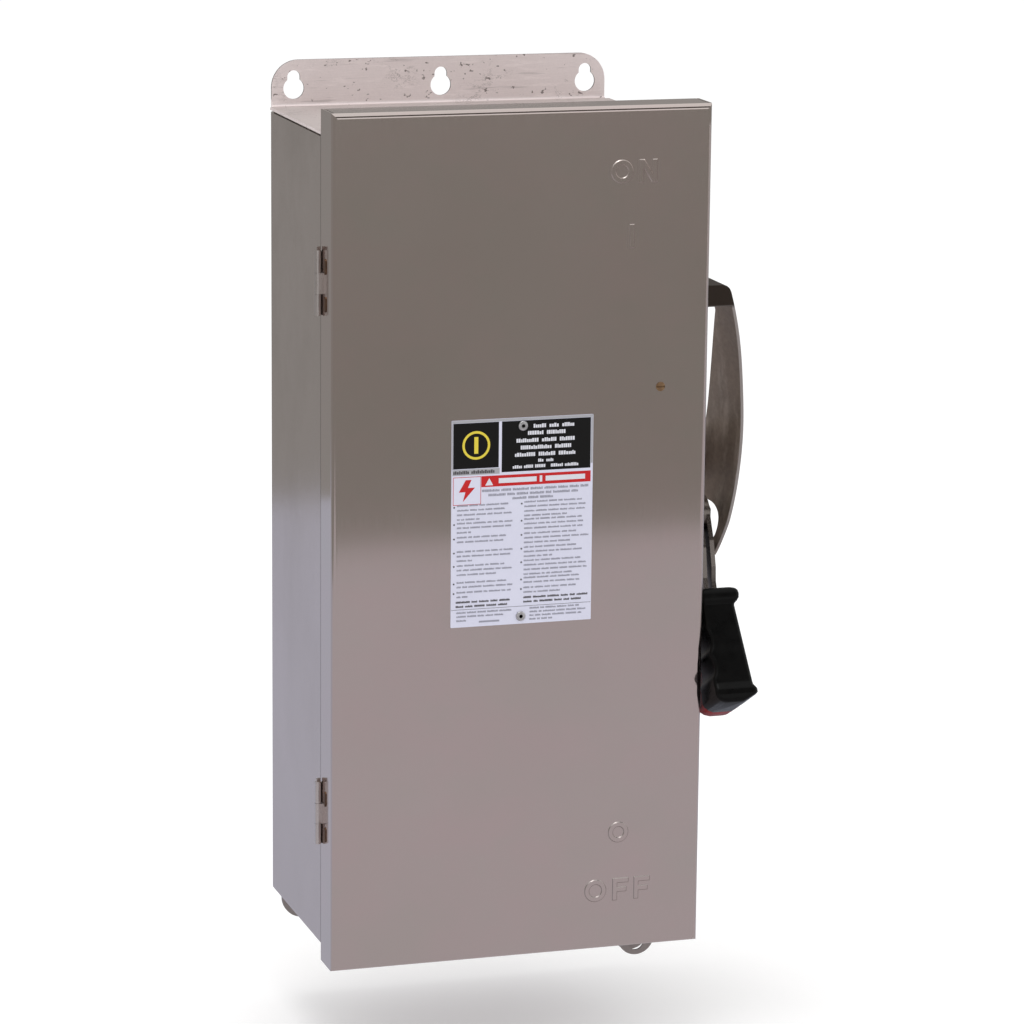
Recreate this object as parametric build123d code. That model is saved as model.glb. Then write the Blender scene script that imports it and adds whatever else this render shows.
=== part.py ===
from build123d import *
import os

os.makedirs("parts", exist_ok=True)

# Frame: origin on the wall plane at the centre of the middle keyhole's round part.
# +Z up, +X to the right seen from the front, -Y towards the user.

SHEET = 1.6
SEAM = 1.2

# enclosure body
BODY_HALF = 116.5
BODY_TOP = -11.7
BODY_BOTTOM = -540.9
WALL_FRONT = -132.5
BACK_BEND = 7.0

# top mounting flange, with three keyholes
FLANGE_LEFT = -114.9
FLANGE_RIGHT = 113.9
FLANGE_TOP = 18.7
FLANGE_CORNER = 18.0
KEY_PITCH = 100.0
KEY_HEAD_R = 7.0
KEY_SLOT_R = 4.3
KEY_SLOT_TOP = 11.8

# bottom feet
FOOT_X = 94.5
FOOT_Z = -550.9
FOOT_R = 14.5
FOOT_HOLE_R = 4.35
FOOT_THICK = 2.5

# front rim and gasket
RIM_GAP = 2.8
RIM_FRONT = -152.5
GASKET_THICK = 6.0
GASKET_WIDE = 6.8

# door pan
DOOR_LEFT = -116.5
DOOR_RIGHT = 133.5
DOOR_BOTTOM = -552.5
DOOR_TOP = 2.8
DOOR_FRONT = -160.6
DOOR_LIP_BACK = -133.1
DOOR_BEND = 3.5

# hinges
HINGE_X = -118.8
HINGE_Y = -134.65
HINGE_R = 2.2
HINGE_PIN_R = 1.4
HINGE_RUN = 0.05
KNUCKLE = 13.3
KNUCKLE_GAP = 0.25
HINGE_LOW = -472.8
HINGE_HIGH = -127.0

# padlock hasp
HASP_X = 99.3
HASP_Z = -554.6
HASP_R = 12.5
HASP_HOLE_Z = -558.7
HASP_HOLE_R = 5.3
TONGUE_FRONT = -135.7
TONGUE_BACK = -134.1
REAR_EAR_FRONT = -124.3
REAR_EAR_BACK = -121.9

# label plate
LABEL_LEFT = -38.3
LABEL_RIGHT = 56.0
LABEL_LOW = -328.7
LABEL_HIGH = -194.0
LABEL_THICK = 0.5

# defeater screw and interlock
DEF_X = 101.1
DEF_Z = -178.3
DEF_R = 3.0
HOOK_IN = 34.0
HOOK_OUT = 38.0

# operating handle
PIVOT_Y = -105.6
PIVOT_Z = -275.5
OFF_LEAN = 28.0
SWING = 124.0
SHAFT_R = 6.0
RUN = 0.05
LEVER_OUT = 152.5
LEVER_THICK = 3.0
GRIP_X = 149.5
GRIP_START = 56.0
GRIP_END = 133.0
GRIP_FRONT = -20.0
GRIP_SPLIT = 10.0
GRIP_BACK = 24.0

# link mechanism
CRANK_R = 18.0
CRANK_PIN_R = 4.0
CRANK_OFF = 40.0
ROTOR_Y = -62.0
ROTOR_Z = -205.0
ROTOR_OFF = 180.0 - SWING

# switch interior
POLES = (-72.0, -22.0, 28.0)
PAN_FRONT = -14.0
BASE_FRONT = -34.0
STRAP = 3.0
BLADE_T = 3.0
BLADE_W = 14.0
BLADE_LONG = 60.0
BASE_LEFT = -98.0
BASE_RIGHT = 54.0


def block(x0, x1, y0, y1, z0, z1):
    return Pos((x0 + x1) / 2, (y0 + y1) / 2, (z0 + z1) / 2) * Box(abs(x1 - x0), abs(y1 - y0), abs(z1 - z0))


def rod_x(x0, x1, y, z, r):
    return Pos((x0 + x1) / 2, y, z) * Rot(0, 90, 0) * Cylinder(r, abs(x1 - x0))


def rod_y(x, y0, y1, z, r):
    return Pos(x, (y0 + y1) / 2, z) * Rot(90, 0, 0) * Cylinder(r, abs(y1 - y0))


def rod_z(x, y, z0, z1, r):
    return Pos(x, y, (z0 + z1) / 2) * Cylinder(r, abs(z1 - z0))


def slab_xz(points, y0, y1):
    # polygon in X and Z, from y1 at the back to y0 in front
    face = make_face(Plane.XZ.offset(-y1) * Polyline(*points, close=True))
    return extrude(face, amount=abs(y1 - y0), dir=(0, -1, 0))


def slab_yz(points, x0, x1):
    face = make_face(Plane.YZ.offset(x0) * Polyline(*points, close=True))
    return extrude(face, amount=abs(x1 - x0), dir=(1, 0, 0))


def ring_y(x0, x1, z0, z1, wide, y0, y1):
    hole = block(x0 + wide, x1 - wide, y0 - 1, y1 + 1, z0 + wide, z1 - wide)
    return block(x0, x1, y0, y1, z0, z1) - hole


def all_of(shapes):
    total = shapes[0]
    for item in shapes[1:]:
        total = total + item
    return total


def pan_head(x, y, z, r, high):
    # round head on a face that looks towards -Y
    head = rod_y(x, y - high, y, z, r)
    head = fillet(head.edges().group_by(Axis.Y)[0], high * 0.6)
    return head - block(x - r, x + r, y - high - 1, y - high + 0.7, z - 0.5, z + 0.5)


def hex_head_x(x, y, z, across, high):
    outline = RegularPolygon(across / 2, 6, major_radius=False)
    return extrude(Plane.YZ.offset(x) * Pos(y, z) * outline, amount=high)


parts = {}

# ------------------------------------------------------------------ enclosure
outer = block(-BODY_HALF, BODY_HALF, WALL_FRONT, 0, BODY_BOTTOM + SHEET, BODY_TOP - SHEET - SEAM)
outer = fillet(outer.edges().filter_by(Axis.Z).group_by(Axis.Y)[-1], BACK_BEND)
inner = block(-BODY_HALF + SHEET, BODY_HALF - SHEET, WALL_FRONT - 5, -SHEET, BODY_BOTTOM - 5, BODY_TOP + 5)
inner = fillet(inner.edges().filter_by(Axis.Z).group_by(Axis.Y)[-1], BACK_BEND - SHEET)
wrap = outer - inner
wrap = wrap - rod_x(110, 120, PIVOT_Y, PIVOT_Z, 7.5)
for hinge_z in (HINGE_LOW, HINGE_HIGH):
    hinge_top = hinge_z + 3 * KNUCKLE + 2 * KNUCKLE_GAP
    wrap = wrap - block(-120, -114.8, -140, HINGE_Y + HINGE_R + 0.05, hinge_z - 0.1, hinge_top + 0.1)
parts["enclosure_wrap"] = wrap

top = block(-BODY_HALF, BODY_HALF, WALL_FRONT, -4, BODY_TOP - SHEET, BODY_TOP)
riser = block(FLANGE_LEFT, FLANGE_RIGHT, -SHEET, 0, BODY_TOP - SHEET + 4, FLANGE_TOP)
riser = fillet(riser.edges().filter_by(Axis.Y).group_by(Axis.Z)[-1], FLANGE_CORNER)
bend = rod_x(FLANGE_LEFT, FLANGE_RIGHT, -4, BODY_TOP - SHEET + 4, 4)
bend = bend - rod_x(-130, 130, -4, BODY_TOP - SHEET + 4, 4 - SHEET)
bend = bend & block(-130, 130, -4, 1, BODY_TOP - SHEET - 1, BODY_TOP - SHEET + 4)
top = top + riser + bend
SKIRT = 12.0
skirt = ring_y(-BODY_HALF + SHEET, BODY_HALF - SHEET, -500, 500, SHEET, WALL_FRONT + SHEET + 0.3, -8)
skirt = skirt & block(-130, 130, -200, 0, BODY_TOP - SHEET - SKIRT, BODY_TOP - SHEET)
top = top + skirt
for kx in (-KEY_PITCH, 0, KEY_PITCH):
    top = top - rod_y(kx, -5, 5, 0, KEY_HEAD_R)
    top = top - block(kx - KEY_SLOT_R, kx + KEY_SLOT_R, -5, 5, 0, KEY_SLOT_TOP - KEY_SLOT_R)
    top = top - rod_y(kx, -5, 5, KEY_SLOT_TOP - KEY_SLOT_R, KEY_SLOT_R)
parts["top_panel_and_flange"] = top

bottom = block(-BODY_HALF, BODY_HALF, WALL_FRONT, 0, BODY_BOTTOM, BODY_BOTTOM + SHEET)
bottom = fillet(bottom.edges().filter_by(Axis.Z).group_by(Axis.Y)[-1], BACK_BEND)
parts["bottom_panel"] = bottom

feet = []
for fx in (-FOOT_X, FOOT_X):
    tab = block(fx - FOOT_R, fx + FOOT_R, -FOOT_THICK, 0, FOOT_Z, BODY_BOTTOM)
    tab_end = rod_y(fx, -FOOT_THICK, 0, FOOT_Z, FOOT_R)
    tab = tab + (tab_end & block(fx - 20, fx + 20, -10, 5, -600, BODY_BOTTOM))
    tab = tab + block(fx - FOOT_R, fx + FOOT_R, -22, 0, BODY_BOTTOM - FOOT_THICK, BODY_BOTTOM)
    tab = tab - rod_y(fx, -10, 5, FOOT_Z, FOOT_HOLE_R)
    feet.append(tab)
parts["mounting_feet"] = all_of(feet)

rim_x = BODY_HALF - SHEET - RIM_GAP
rim_hi = BODY_TOP - SHEET - RIM_GAP
rim_lo = BODY_BOTTOM + SHEET + RIM_GAP
ledge = ring_y(
    -BODY_HALF + SHEET,
    BODY_HALF - SHEET,
    BODY_BOTTOM + SHEET,
    BODY_TOP - SHEET,
    RIM_GAP + SHEET,
    WALL_FRONT,
    WALL_FRONT + SHEET,
)
stand = ring_y(-rim_x, rim_x, rim_lo, rim_hi, SHEET, RIM_FRONT, WALL_FRONT + SHEET)
rim = ledge + stand

# hinges: two knuckles on the body, the middle one on the door
body_knuckles = []
door_knuckles = []
pins = []
for base_z in (HINGE_LOW, HINGE_HIGH):
    for index in (0, 1, 2):
        z0 = base_z + index * (KNUCKLE + KNUCKLE_GAP)
        z1 = z0 + KNUCKLE
        barrel = rod_z(HINGE_X, HINGE_Y, z0, z1, HINGE_R)
        if index == 1:
            neck = block(HINGE_X, -113.3, HINGE_Y - HINGE_R, HINGE_Y - 0.8, z0, z1)
            leaf = block(-114.9, -113.3, -152.0, HINGE_Y - 0.8, z0 - 9, z1 + 9)
            knuckle = barrel + neck + leaf
            knuckle = knuckle - rod_z(HINGE_X, HINGE_Y, z0 - 1, z1 + 1, HINGE_PIN_R + HINGE_RUN)
            door_knuckles.append(knuckle)
        else:
            neck = block(HINGE_X, -113.3, HINGE_Y + 0.8, HINGE_Y + HINGE_R, z0, z1)
            leaf = block(-114.9, -113.3, HINGE_Y + 0.8, -112.0, z0, z1)
            knuckle = barrel + neck + leaf
            knuckle = knuckle - rod_z(HINGE_X, HINGE_Y, z0 - 1, z1 + 1, HINGE_PIN_R)
            body_knuckles.append(knuckle)
            rim = rim - block(-114.95, -113.2, HINGE_Y, -112.0, z0 - 0.1, z1 + 0.1)
    top_z = base_z + 3 * KNUCKLE + 2 * KNUCKLE_GAP
    pin = rod_z(HINGE_X, HINGE_Y, base_z - 0.5, top_z, HINGE_PIN_R)
    cap = rod_z(HINGE_X, HINGE_Y, top_z, top_z + 0.9, 2.0)
    fin = Pos(HINGE_X, HINGE_Y, top_z + 1.9) * Rot(0, 0, 35) * Box(3.4, 1.2, 2.2)
    pins.append(pin + cap + fin)
parts["front_rim"] = rim
parts["hinge_knuckles_body"] = all_of(body_knuckles)
parts["hinge_pins"] = all_of(pins)

ear = block(HASP_X - HASP_R, HASP_X + HASP_R, REAR_EAR_FRONT, REAR_EAR_BACK, HASP_Z, BODY_BOTTOM)
ear = ear + rod_y(HASP_X, REAR_EAR_FRONT, REAR_EAR_BACK, HASP_Z, HASP_R)
ear = ear + block(HASP_X - HASP_R, HASP_X + HASP_R, REAR_EAR_BACK, -100, BODY_BOTTOM - 2.4, BODY_BOTTOM)
ear = ear - rod_y(HASP_X, -140, -115, HASP_HOLE_Z, HASP_HOLE_R)
parts["body_hasp_ear"] = ear

# ----------------------------------------------------------------------- door
pan = block(DOOR_LEFT, DOOR_RIGHT, DOOR_FRONT, DOOR_LIP_BACK, DOOR_BOTTOM, DOOR_TOP)
pan = fillet(pan.faces().sort_by(Axis.Y)[0].edges(), DOOR_BEND)
core = block(
    DOOR_LEFT + SHEET,
    DOOR_RIGHT - SHEET,
    DOOR_FRONT + SHEET,
    DOOR_LIP_BACK + 5,
    DOOR_BOTTOM + SHEET,
    DOOR_TOP - SHEET,
)
core = fillet(core.faces().sort_by(Axis.Y)[0].edges(), DOOR_BEND - SHEET)
door = pan - core
for hinge_z in (HINGE_LOW, HINGE_HIGH):
    for index, notch_front, spare in ((0, -134.4, 0.3), (1, -136.9, 0.1), (2, -134.4, 0.3)):
        z0 = hinge_z + index * (KNUCKLE + KNUCKLE_GAP)
        door = door - block(-120, -114.8, notch_front, -130, z0 - spare, z0 + KNUCKLE + spare)

CORNER_GAP = 0.5
for seam_x in (DOOR_LEFT + SHEET, DOOR_RIGHT - SHEET - CORNER_GAP):
    for seam_z in (DOOR_BOTTOM, DOOR_TOP - SHEET):
        seam_end = seam_x + CORNER_GAP
        seam_top = seam_z + SHEET + 0.5
        door = door - block(seam_x, seam_end, DOOR_FRONT + DOOR_BEND, -130, seam_z - 0.5, seam_top)

RAISE = 0.6
STROKE = 3.6
SLOPE = 42.0
BASE_AT_START = (Align.CENTER, Align.CENTER, Align.MIN)


def stroke(x0, z0, x1, z1):
    # one raised stroke of a switch mark with sloping sides, between two centre points
    dx = x1 - x0
    dz = z1 - z0
    long = (dx * dx + dz * dz) ** 0.5
    nx = -dz / long * STROKE / 2
    nz = dx / long * STROKE / 2
    corners = ((x0 + nx, z0 + nz), (x1 + nx, z1 + nz), (x1 - nx, z1 - nz), (x0 - nx, z0 - nz))
    face = make_face(Plane.XZ.offset(-DOOR_FRONT - 0.02) * Polyline(*corners, close=True))
    return extrude(face, amount=RAISE, dir=(0, -1, 0), taper=SLOPE)


def ring_mark(x, z, r):
    # a raised ring with sloping sides, standing on the door's front face
    inset = RAISE * 0.9
    outside = Plane.XZ.offset(-DOOR_FRONT - 0.02) * Pos(x, z) * Cone(r, r - inset, RAISE, align=BASE_AT_START)
    inside = Plane.XZ.offset(-DOOR_FRONT - 0.02) * Pos(x, z) * Cone(
        r - STROKE, r - STROKE + inset, RAISE, align=BASE_AT_START
    )
    return outside - inside


marks = []
ON_LOW = -46.3
ON_HIGH = -31.3
marks.append(ring_mark(73.0, (ON_LOW + ON_HIGH) / 2, 7.55))
marks.append(stroke(86.0, ON_LOW, 86.0, ON_HIGH))
marks.append(stroke(94.9, ON_LOW, 94.9, ON_HIGH))
marks.append(stroke(86.3, ON_HIGH - 0.9, 94.6, ON_LOW + 0.9))
marks.append(stroke(80.2, -87.9, 80.2, -72.5))
marks.append(ring_mark(77.1, -473.5, 7.1))
OFF_LOW = -520.1
OFF_HIGH = -504.7
marks.append(ring_mark(61.9, (OFF_LOW + OFF_HIGH) / 2, 7.65))
for fx in (75.3, 90.0):
    marks.append(stroke(fx, OFF_LOW, fx, OFF_HIGH))
    marks.append(stroke(fx, OFF_HIGH - STROKE / 2, fx + 9.6, OFF_HIGH - STROKE / 2))
    marks.append(stroke(fx, -512.6, fx + 8.2, -512.6))
for mark in marks:
    door = door + mark
rivet_points = ((8.9, -199.3), (8.5, -323.7))
for rx, rz in rivet_points:
    door = door - rod_y(rx, -165, -155, rz, 1.9)
door = door - rod_y(DEF_X, -165, -155, DEF_Z, DEF_R + 0.05)
parts["door_pan"] = door
parts["hinge_knuckles_door"] = all_of(door_knuckles)

weld_beads = []
for base_z in (HINGE_LOW, HINGE_HIGH):
    for bead_z in (base_z + 8, base_z + 3 * KNUCKLE - 8):
        pad = Plane.YZ.offset(DOOR_LEFT) * Pos(-144.2, bead_z) * Rot(0, 0, 90) * SlotOverall(10.0, 4.4)
        weld_beads.append(extrude(pad, amount=0.5, dir=(-1, 0, 0)))
parts["hinge_weld_beads"] = all_of(weld_beads)

SEAL_PAST_RIM = 1.5
seal_x = rim_x + SEAL_PAST_RIM
gasket = ring_y(
    -seal_x,
    seal_x,
    rim_lo - SEAL_PAST_RIM,
    rim_hi + SEAL_PAST_RIM,
    GASKET_WIDE,
    DOOR_FRONT + SHEET,
    DOOR_FRONT + SHEET + GASKET_THICK,
)
parts["door_gasket"] = gasket & core

tongue = block(HASP_X - HASP_R, HASP_X + HASP_R, TONGUE_FRONT, TONGUE_BACK, HASP_Z, DOOR_BOTTOM)
round_end = rod_y(HASP_X, TONGUE_FRONT, TONGUE_BACK, HASP_Z, HASP_R)
tongue = tongue + (round_end & block(80, 120, -140, -130, -580, DOOR_BOTTOM))
tongue = tongue - rod_y(HASP_X, -140, -125, HASP_HOLE_Z, HASP_HOLE_R)
parts["door_hasp_ear"] = tongue

label = block(LABEL_LEFT, LABEL_RIGHT, DOOR_FRONT - LABEL_THICK, DOOR_FRONT, LABEL_LOW, LABEL_HIGH)
label = fillet(label.edges().filter_by(Axis.Y), 0.6)
rivets = []
for rx, rz in rivet_points:
    label = label - rod_y(rx, -170, -150, rz, 1.9)
    head = rod_y(rx, DOOR_FRONT - LABEL_THICK - 1.1, DOOR_FRONT - LABEL_THICK, rz, 3.2)
    head = fillet(head.edges().group_by(Axis.Y)[0], 0.8)
    tail = rod_y(rx, DOOR_FRONT + SHEET, DOOR_FRONT + SHEET + 1.4, rz, 2.9)
    rivet = head + rod_y(rx, DOOR_FRONT - LABEL_THICK, DOOR_FRONT + SHEET, rz, 1.9) + tail
    rivets.append(rivet - rod_y(rx, -170, -150, rz, 1.2))
parts["label_plate"] = label
parts["label_rivets"] = all_of(rivets)

# ------------------------------------------------------- defeater on the door
screw = rod_y(DEF_X, DOOR_FRONT - 0.3, -150.4, DEF_Z, DEF_R)
screw = screw - block(DEF_X - 4, DEF_X + 4, DOOR_FRONT - 1, DOOR_FRONT + 0.9, DEF_Z - 0.45, DEF_Z + 0.45)
parts["defeater_screw"] = screw
bush = rod_y(DEF_X, DOOR_FRONT + SHEET, -156.8, DEF_Z, 5.2) - rod_y(DEF_X, -170, -150, DEF_Z, DEF_R + 0.05)
parts["defeater_bush"] = bush
FOOT_LEVEL = PIVOT_Z
arm = block(DEF_X - 4.6, DEF_X + 4.6, -156.6, -154.6, FOOT_LEVEL - 1, DEF_Z)
arm = arm + rod_y(DEF_X, -156.6, -154.6, DEF_Z, 5.0)
arm = arm + block(91.5, DEF_X + 4.6, -156.6, -132.8, FOOT_LEVEL - 1, FOOT_LEVEL + 1)
arm = arm - block(97.0, 120, -146.0, -137.2, FOOT_LEVEL - 3, FOOT_LEVEL + 3)
arm = arm - rod_y(DEF_X, -170, -150, DEF_Z, DEF_R)
parts["interlock_catch_arm"] = arm
nut_outline = RegularPolygon(4.6, 6, major_radius=False)
nut = extrude(Plane.XZ.offset(152.4) * Pos(DEF_X, DEF_Z) * nut_outline, amount=2.1)
parts["defeater_nut"] = nut - rod_y(DEF_X, -170, -150, DEF_Z, DEF_R)

# ------------------------------------------------------------ switch interior
back_pan = block(-102, 58, PAN_FRONT, PAN_FRONT + 2, -490, -35)
posts = []
pan_screws = []
for px in (-96, 52):
    for pz in (-40, -182, -345, -484):
        posts.append(rod_y(px, PAN_FRONT + 2, -SHEET, pz, 5.5))
        pan_screws.append(pan_head(px, PAN_FRONT, pz, 3.8, 2.4))
parts["back_pan"] = back_pan
parts["pan_standoffs"] = all_of(posts)
parts["pan_screws"] = all_of(pan_screws)


def moulded_base(z0, z1):
    body = block(BASE_LEFT, BASE_RIGHT, BASE_FRONT, PAN_FRONT, z0, z1)
    for cut in (-47, 3):
        body = body - block(cut - 1, cut + 1, BASE_FRONT - 1, BASE_FRONT + 8, z0 - 1, z1 + 1)
    return fillet(body.edges().filter_by(Axis.Y).group_by(SortBy.LENGTH)[-1], 2.0)


parts["line_base"] = moulded_base(-165, -45)
parts["hinge_base"] = moulded_base(-300, -189)
parts["load_base"] = moulded_base(-480, -395)


def spring_leaves(x, gap, thick, y_tip, z0, z1):
    # two contact leaves that face each other across X
    left = block(x - gap - thick, x - gap, y_tip, BASE_FRONT - STRAP, z0, z1)
    right = block(x + gap, x + gap + thick, y_tip, BASE_FRONT - STRAP, z0, z1)
    return left + right


def strap_at(x, z0, z1):
    return block(x - 8, x + 8, BASE_FRONT - STRAP, BASE_FRONT, z0, z1)


line_jaws = []
hinge_jaws = []
load_clips = []
pivot_pins = []
lugs_line = []
lugs_load = []
lug_screws = []
shields = []
arc_plates = []
for px in POLES:
    line_jaws.append(strap_at(px, -164, -62) + spring_leaves(px, 1.6, 2.0, -78, -164, -144))
    ears = spring_leaves(px, 1.7, 2.2, -71, -213, -197)
    fuse_top = spring_leaves(px, 1.7, 2.0, -72, -292, -270)
    hinged = strap_at(px, -296, -197) + ears + fuse_top
    hinge_jaws.append(hinged - rod_x(px - 10, px + 10, ROTOR_Y, ROTOR_Z, 2.5))
    load_clips.append(strap_at(px, -476, -406) + spring_leaves(px, 1.7, 2.0, -72, -430, -408))
    pivot_pins.append(rod_x(px - 5.4, px + 5.4, ROTOR_Y, ROTOR_Z, 2.5))
    for lug_list, low, high in ((lugs_line, -92, -66), (lugs_load, -474, -448)):
        front = BASE_FRONT - STRAP
        lug = block(px - 10, px + 10, front - 22, front, low, high)
        lug = fillet(lug.edges().filter_by(Axis.Z).group_by(Axis.Y)[0], 4.0)
        lug = lug - rod_z(px, front - 9.5, low - 1, high + 1, 6.5)
        lug = lug - rod_y(px, front - 30, front - 9.5, (low + high) / 2, 4.5)
        lug_list.append(lug)
        set_screw = rod_y(px, front - 23, front - 16.2, (low + high) / 2, 4.4)
        hexagon = Plane.XZ.offset(-(front - 20)) * Pos(px, (low + high) / 2) * RegularPolygon(2.6, 6)
        lug_screws.append(set_screw - extrude(hexagon, amount=8, dir=(0, -1, 0)))
    cheeks = block(px - 12, px - 10, -100, BASE_FRONT, -163, -128)
    cheeks = cheeks + block(px + 10, px + 12, -100, BASE_FRONT, -163, -128)
    shields.append(cheeks + block(px - 12, px + 12, -100, BASE_FRONT - STRAP - 0.5, -130, -128))
    for plate_z in (-141.4, -137.8, -134.2):
        arc_plates.append(block(px - 10, px + 10, -98, -50, plate_z - 0.6, plate_z + 0.6))
parts["line_jaws"] = all_of(line_jaws)
parts["arc_plates"] = all_of(arc_plates)
parts["hinge_jaws_and_fuse_clips"] = all_of(hinge_jaws)
parts["load_fuse_clips"] = all_of(load_clips)
parts["blade_pivot_pins"] = all_of(pivot_pins)
parts["line_lugs"] = all_of(lugs_line)
parts["load_lugs"] = all_of(lugs_load)
parts["arc_shields"] = all_of(shields)

barriers = []
for bx in (-47, 3):
    barriers.append(block(bx - 0.9, bx + 0.9, -104, BASE_FRONT + 7.5, -160, -50))
parts["phase_barriers"] = all_of(barriers)
cover = block(-97.5, 53.5, -109, -107, -122, -50)
cover = cover + block(-97.5, -95.5, -107, BASE_FRONT, -122, -50)
cover = cover + block(51.5, 53.5, -107, BASE_FRONT, -122, -50)
parts["line_shield"] = cover

ground = block(84, 100, -15.6, -SHEET, -505, -478)
ground = ground - rod_z(92, -8.5, -510, -470, 4.5) - rod_y(92, -20, -8.5, -491.5, 3.5)
ground_screw = rod_y(92, -17.5, -13.1, -491.5, 3.4)
ground_screw = ground_screw - block(88, 96, -18, -16.4, -492, -491)
lug_screws.append(ground_screw)
parts["ground_lug"] = ground
parts["lug_screws"] = all_of(lug_screws)

# ------------------------------------------------ side frame and rotor bracket
frame_plate = block(106.5, 109, -124, -SHEET, -318, -168)
frame_plate = frame_plate + block(82, 106.5, -SHEET - 2.5, -SHEET, -318, -168)
frame_plate = frame_plate - rod_x(100, 112, PIVOT_Y, PIVOT_Z, SHAFT_R + RUN)
parts["mechanism_frame"] = frame_plate
bracket = block(77, 80, -76, -SHEET, -222, -188) + block(66, 77, -SHEET - 2.5, -SHEET, -222, -188)
bracket = bracket - rod_x(70, 90, ROTOR_Y, ROTOR_Z, SHAFT_R + RUN)
parts["rotor_bracket"] = bracket

# ------------------------------------------------- rotor: blades on a crossbar
def at_rotor(shape):
    return Pos(0, ROTOR_Y, ROTOR_Z) * Rot(-ROTOR_OFF, 0, 0) * shape


bar = block(-88, 70, -7, 7, -35, -21)
bar = fillet(bar.edges().filter_by(Axis.X), 2.0)
blades = []
for px in POLES:
    bar = bar - block(px - BLADE_T / 2, px + BLADE_T / 2, -BLADE_W / 2, BLADE_W / 2, -40, -15)
    blade = block(px - BLADE_T / 2, px + BLADE_T / 2, -BLADE_W / 2, BLADE_W / 2, -BLADE_LONG, 0)
    blade = fillet(blade.edges().filter_by(Axis.X).group_by(Axis.Z)[0], 4.0)
    blade = blade + rod_x(px - BLADE_T / 2, px + BLADE_T / 2, 0, 0, BLADE_W / 2)
    blades.append(blade - rod_x(px - 5, px + 5, 0, 0, 2.55))
bar = bar + block(-88, 70, 6.4, 9.0, -35, -21)
bar = bar + block(-88, 70, -9.0, -6.4, -35, -21)
for px in POLES:
    bar = bar - block(px - BLADE_T / 2, px + BLADE_T / 2, -BLADE_W / 2, BLADE_W / 2, -40, -15)
arm_plate = block(70, 73, -8, 8, -36, 0) + rod_x(70, 73, 0, 0, 8)
rotor_shaft = rod_x(73, 85, 0, 0, SHAFT_R)
rotor_crank = block(85, 89, -6.5, 6.5, -CRANK_R, 0) + rod_x(85, 89, 0, 0, 9) + rod_x(85, 89, 0, -CRANK_R, 6.5)
rotor_crank = rotor_crank + rod_x(89, 94.4, 0, -CRANK_R, CRANK_PIN_R)
turned = Rot(-(CRANK_OFF - ROTOR_OFF), 0, 0)
parts["blade_crossbar"] = at_rotor(bar)
parts["knife_blades"] = at_rotor(all_of(blades))
parts["rotor_end_arm"] = at_rotor(arm_plate + rotor_shaft)
parts["rotor_crank"] = at_rotor(turned * rotor_crank)

# ------------------------------------------------------------- operating shaft
def at_pivot(shape):
    return Pos(0, PIVOT_Y, PIVOT_Z) * shape


def at_handle(shape):
    return Pos(0, PIVOT_Y, PIVOT_Z) * Rot(-OFF_LEAN, 0, 0) * shape


shaft = at_pivot(rod_x(99, LEVER_OUT - LEVER_THICK, 0, 0, SHAFT_R))
parts["handle_shaft"] = shaft
crank = block(95, 99, -6.5, 6.5, -CRANK_R, 0) + rod_x(95, 99, 0, 0, 9) + rod_x(95, 99, 0, -CRANK_R, 6.5)
crank = crank + rod_x(89.6, 95, 0, -CRANK_R, CRANK_PIN_R)
parts["drive_crank"] = at_pivot(Rot(-CRANK_OFF, 0, 0) * crank)

# a curved finger concentric with the shaft passes into the catch arm's slot at ON
finger = rod_x(100, 102, 0, 0, HOOK_OUT) - rod_x(99, 103, 0, 0, HOOK_IN)
web = slab_yz(((-8, 0), (8, 0), (26, -44), (-12, -50)), 99, 103)
sector = slab_yz(((0, 0), (44, -44), (44, -100), (-24, -100)), 99, 103)
finger = finger & sector
stem = slab_yz(((-7, 0), (7, 0), (31, -22), (25, -30)), 100, 102)
hook = finger + stem + rod_x(100, 102, 0, 0, 11)
hook = hook - rod_x(99, 103, 0, 0, SHAFT_R)
parts["interlock_hook"] = at_pivot(hook)

link_y = PIVOT_Y - CRANK_R * 0.6427876
link_z = PIVOT_Z - CRANK_R * 0.7660444
far_y = link_y + (ROTOR_Y - PIVOT_Y)
far_z = link_z + (ROTOR_Z - PIVOT_Z)
span_y = far_y - link_y
span_z = far_z - link_z
span = (span_y * span_y + span_z * span_z) ** 0.5
ny = -span_z / span * 6
nz = span_y / span * 6
sides = (
    (link_y + ny, link_z + nz),
    (far_y + ny, far_z + nz),
    (far_y - ny, far_z - nz),
    (link_y - ny, link_z - nz),
)
link = slab_yz(sides, 90, 94) + rod_x(90, 94, link_y, link_z, 7.5) + rod_x(90, 94, far_y, far_z, 7.5)
link = link - rod_x(88, 96, link_y, link_z, CRANK_PIN_R + RUN)
link = link - rod_x(88, 96, far_y, far_z, CRANK_PIN_R + RUN)
parts["drive_link"] = link

seal = rod_x(116.5, 118, PIVOT_Y, PIVOT_Z, 21) - rod_x(115, 120, PIVOT_Y, PIVOT_Z, SHAFT_R + 0.6)
parts["shaft_seal"] = seal
bearing = rod_x(118, 121, PIVOT_Y, PIVOT_Z, 22) + rod_x(121, 134, PIVOT_Y, PIVOT_Z, 13)
bearing = bearing - rod_x(100, 140, PIVOT_Y, PIVOT_Z, SHAFT_R + RUN)
parts["shaft_bearing"] = bearing
bearing_screws = []
for sy in (-12.4, 12.4):
    for sz in (-12.4, 12.4):
        bearing_screws.append(hex_head_x(121, PIVOT_Y + sy, PIVOT_Z + sz, 6, 2.6))
parts["bearing_screws"] = all_of(bearing_screws)

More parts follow.
